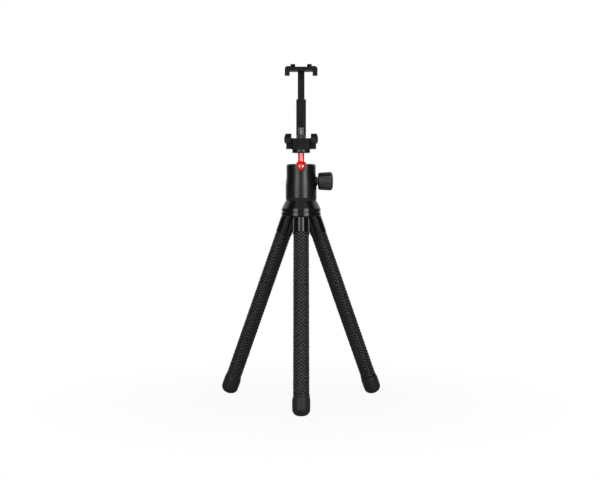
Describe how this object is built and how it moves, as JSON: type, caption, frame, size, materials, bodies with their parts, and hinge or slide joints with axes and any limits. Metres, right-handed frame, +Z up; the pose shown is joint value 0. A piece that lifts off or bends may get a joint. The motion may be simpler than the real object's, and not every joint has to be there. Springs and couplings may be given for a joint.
{
  "type": "flexible leg tripod",
  "caption": "Small tripod with bendable rubber-skinned legs, a ball head with a lock knob, and a spring clamp for a phone with an accessory shoe on top.",
  "frame": {"origin": "on the ground, under the middle of the tripod's overall box", "axes": "+Z up along the tripod's axis, -Y towards the front leg, +X towards the side with the lock knob"},
  "size_m": [0.1748, 0.1538, 0.3571],
  "materials": {
    "crown_gloss": "glossy black",
    "leg_skin": "matte black, fine pebbled texture",
    "leg_core": "filler around a soft bendable wire",
    "core_plug": "moulded",
    "foot_rubber": "satin black with a fine gripping band",
    "bolt_steel": "zinc plated",
    "stud_steel": "bright, threaded",
    "spring_steel": "spring wire",
    "barrel_black": "satin black anodised",
    "cup_nylon": "natural nylon",
    "ball_red": "polished red anodised",
    "knob_black": "matte black moulded",
    "clamp_black": "satin black moulded",
    "grip_rubber": "soft black rubber"
  },
  "bodies": {
    "crown": {"crown": "crown_gloss", "crown_cover": "crown_gloss", "head_bolt": "bolt_steel", "front_socket": "crown_gloss", "front_skin_root": "leg_skin", "front_core_root": "leg_core", "right_socket": "crown_gloss", "right_skin_root": "leg_skin", "right_core_root": "leg_core", "left_socket": "crown_gloss", "left_skin_root": "leg_skin", "left_core_root": "leg_core"},
    "head": {"barrel": "barrel_black", "barrel_plug": "barrel_black"},
    "ball": {"ball_stem": "ball_red", "platform": "barrel_black", "stud": "stud_steel"},
    "cup": {"brake_cup": "cup_nylon"},
    "knob": {"lock_knob": "knob_black", "knob_screw": "bolt_steel"},
    "clamp": {"clamp_foot": "clamp_black", "left_grip": "grip_rubber", "right_grip": "grip_rubber", "spine_sleeve": "clamp_black", "foot_screws": "bolt_steel", "pull_spring": "spring_steel"},
    "jaw": {"upper_jaw": "clamp_black", "slide_bar": "clamp_black", "left_pad": "grip_rubber", "right_pad": "grip_rubber", "jaw_screws": "bolt_steel"},
    "front_middle": {"front_skin_middle": "leg_skin", "front_core_middle": "leg_core"},
    "front_lower": {"front_skin_lower": "leg_skin", "front_core_lower": "leg_core", "front_end_plug": "core_plug", "front_foot": "foot_rubber"},
    "right_middle": {"right_skin_middle": "leg_skin", "right_core_middle": "leg_core"},
    "right_lower": {"right_skin_lower": "leg_skin", "right_core_lower": "leg_core", "right_end_plug": "core_plug", "right_foot": "foot_rubber"},
    "left_middle": {"left_skin_middle": "leg_skin", "left_core_middle": "leg_core"},
    "left_lower": {"left_skin_lower": "leg_skin", "left_core_lower": "leg_core", "left_end_plug": "core_plug", "left_foot": "foot_rubber"}
  },
  "joints": [
    {"name": "head_pan", "type": "hinge", "parent": "crown", "child": "head", "pos_m": [0, 0.02257, 0.21327], "axis": [0, 0, 1], "range_deg": [-180, 180]},
    {"name": "ball_tilt", "type": "hinge", "parent": "head", "child": "ball", "pos_m": [0, 0.02257, 0.24717], "axis": [1, 0, 0], "range_deg": [-30, 90]},
    {"name": "clamp_turn", "type": "hinge", "parent": "ball", "child": "clamp", "pos_m": [0, 0.02257, 0.26677], "axis": [0, 0, 1], "range_deg": [-180, 180]},
    {"name": "jaw_slide", "type": "slide", "parent": "clamp", "child": "jaw", "axis": [0, 0, 1], "range_m": [-0.012, 0.02], "deforming": ["pull_spring"]},
    {"name": "knob_turn", "type": "hinge", "parent": "head", "child": "knob", "pos_m": [0, 0.02257, 0.23347], "axis": [1, 0, 0], "range_deg": [0, 360]},
    {"name": "cup_release", "type": "slide", "parent": "head", "child": "cup", "axis": [0, 0, -1], "range_m": [0, 0.0005]},
    {"name": "front_upper_bend", "type": "hinge", "parent": "crown", "child": "front_middle", "pos_m": [0, -0.00621, 0.15993], "axis": [-1, 0, 0], "range_deg": [-22, 40]},
    {"name": "front_lower_bend", "type": "hinge", "parent": "front_middle", "child": "front_lower", "pos_m": [0, -0.0343, 0.09039], "axis": [1, 0, 0], "range_deg": [-40, 40]},
    {"name": "right_upper_bend", "type": "hinge", "parent": "crown", "child": "right_middle", "pos_m": [0.02492, 0.03695, 0.15993], "axis": [0.5, -0.866, 0], "range_deg": [-22, 40]},
    {"name": "right_lower_bend", "type": "hinge", "parent": "right_middle", "child": "right_lower", "pos_m": [0.04925, 0.051, 0.09039], "axis": [-0.5, 0.866, 0], "range_deg": [-40, 40]},
    {"name": "left_upper_bend", "type": "hinge", "parent": "crown", "child": "left_middle", "pos_m": [-0.02492, 0.03695, 0.15993], "axis": [0.5, 0.866, 0], "range_deg": [-22, 40]},
    {"name": "left_lower_bend", "type": "hinge", "parent": "left_middle", "child": "left_lower", "pos_m": [-0.04925, 0.051, 0.09039], "axis": [-0.5, -0.866, 0], "range_deg": [-40, 40]}
  ],
  "couplings": [
    {"joint": "cup_release", "follows": "knob_turn", "m_per_rad": 0.000079577}
  ]
}
